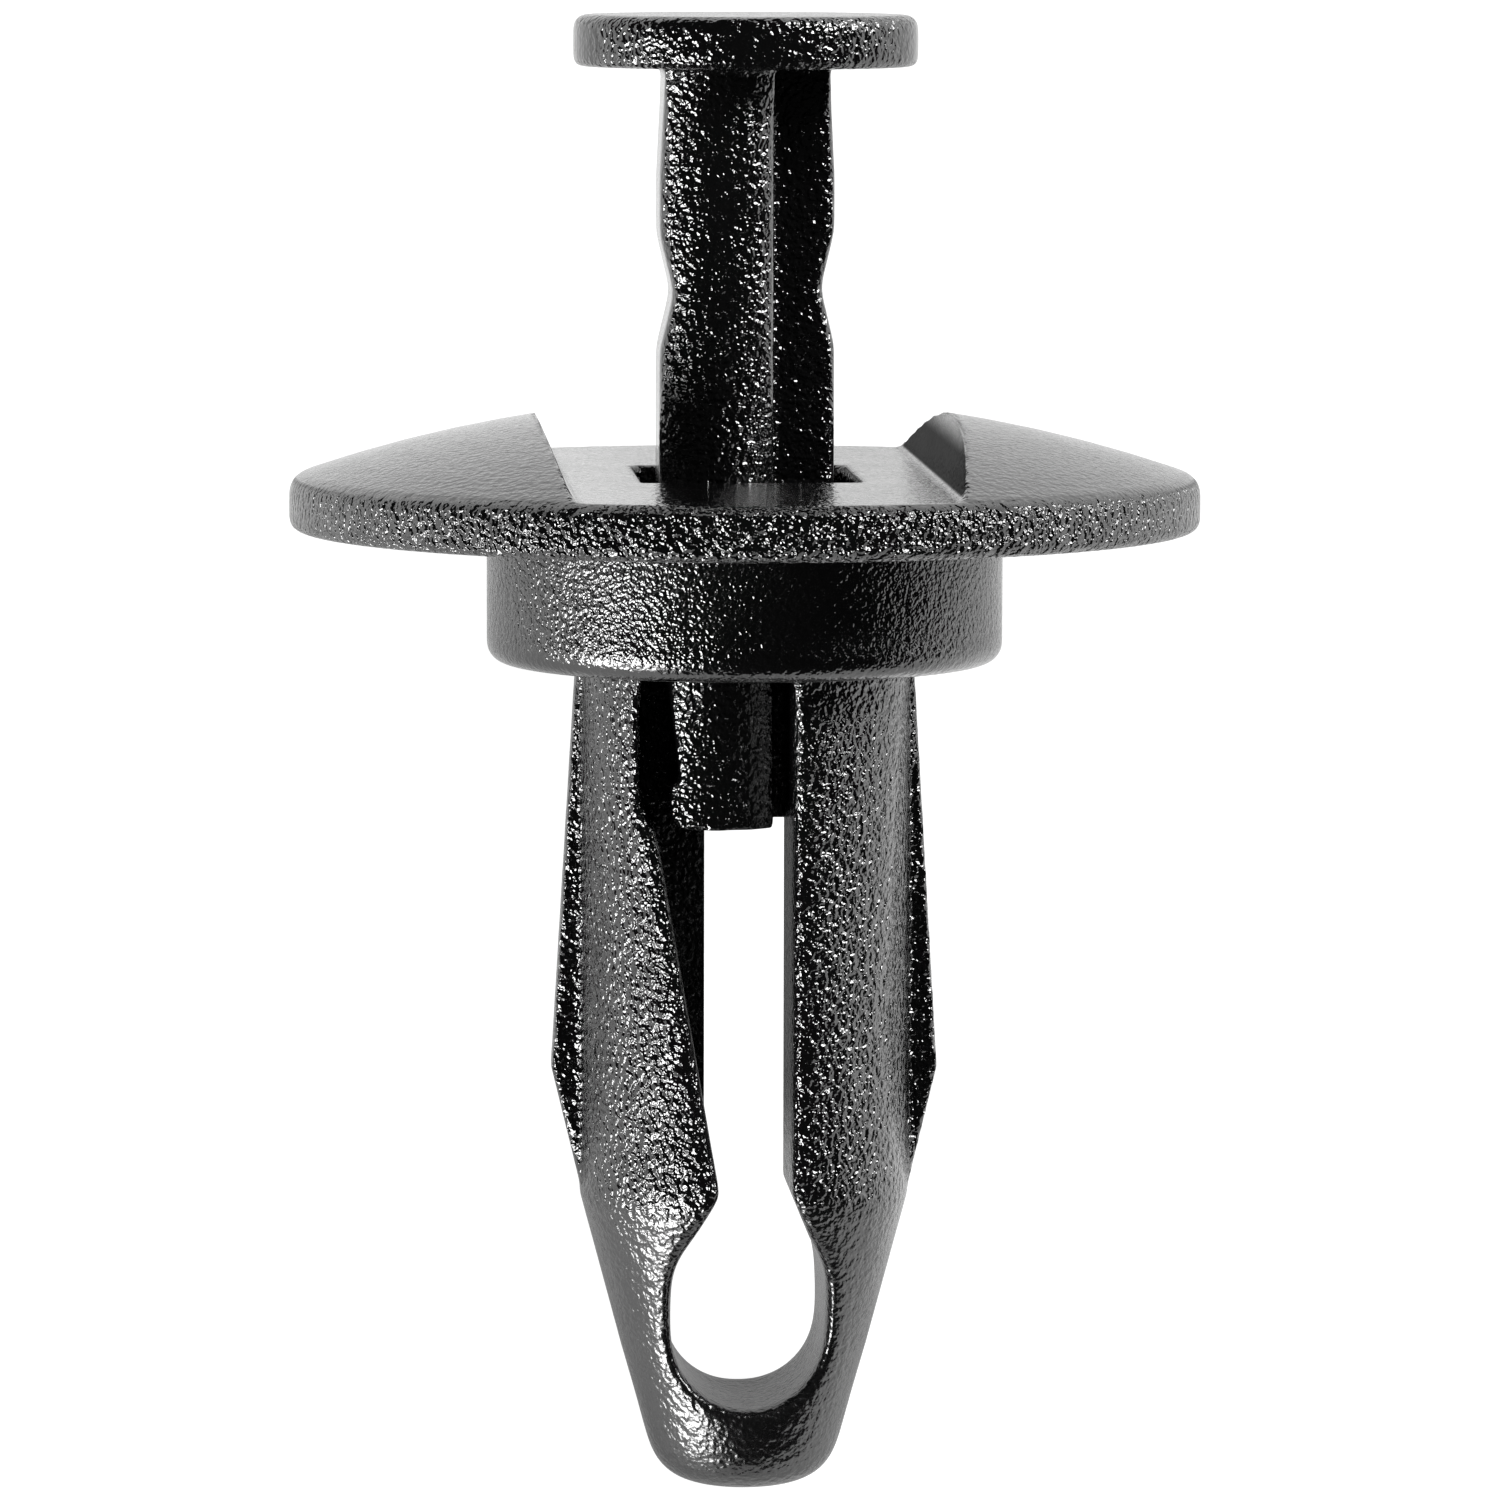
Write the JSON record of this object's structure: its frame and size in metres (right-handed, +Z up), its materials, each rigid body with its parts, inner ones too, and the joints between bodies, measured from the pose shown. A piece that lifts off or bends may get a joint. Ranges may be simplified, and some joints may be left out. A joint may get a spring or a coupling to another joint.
{
  "type": "bumper cover retainer",
  "caption": "Push-type panel retainer: a domed round head with a channel, a collar and spreading legs, and a push pin raised in it, ready to be driven in to lock the legs.",
  "frame": {"origin": "on the surface that the loose retainer lies on, at the middle of its box", "axes": "+Z up; the retainer lies on its rim and tip, its front face up, its pin's head towards +Y and its tip towards -Y, with its axis leaning 21.0 degrees from level"},
  "size_m": [0.02, 0.032, 0.0189],
  "materials": {
    "black_nylon": "satin black nylon with a fine spark-eroded grain from the mould"
  },
  "bodies": {
    "retainer_body": {"retainer_body": "black_nylon"},
    "push_pin": {"push_pin": "black_nylon"}
  },
  "joints": [
    {"name": "pin_push", "type": "slide", "parent": "retainer_body", "child": "push_pin", "axis": [0, -0.9338, -0.3579], "range_m": [0, 0.00889], "deforming": ["retainer_body"]}
  ]
}
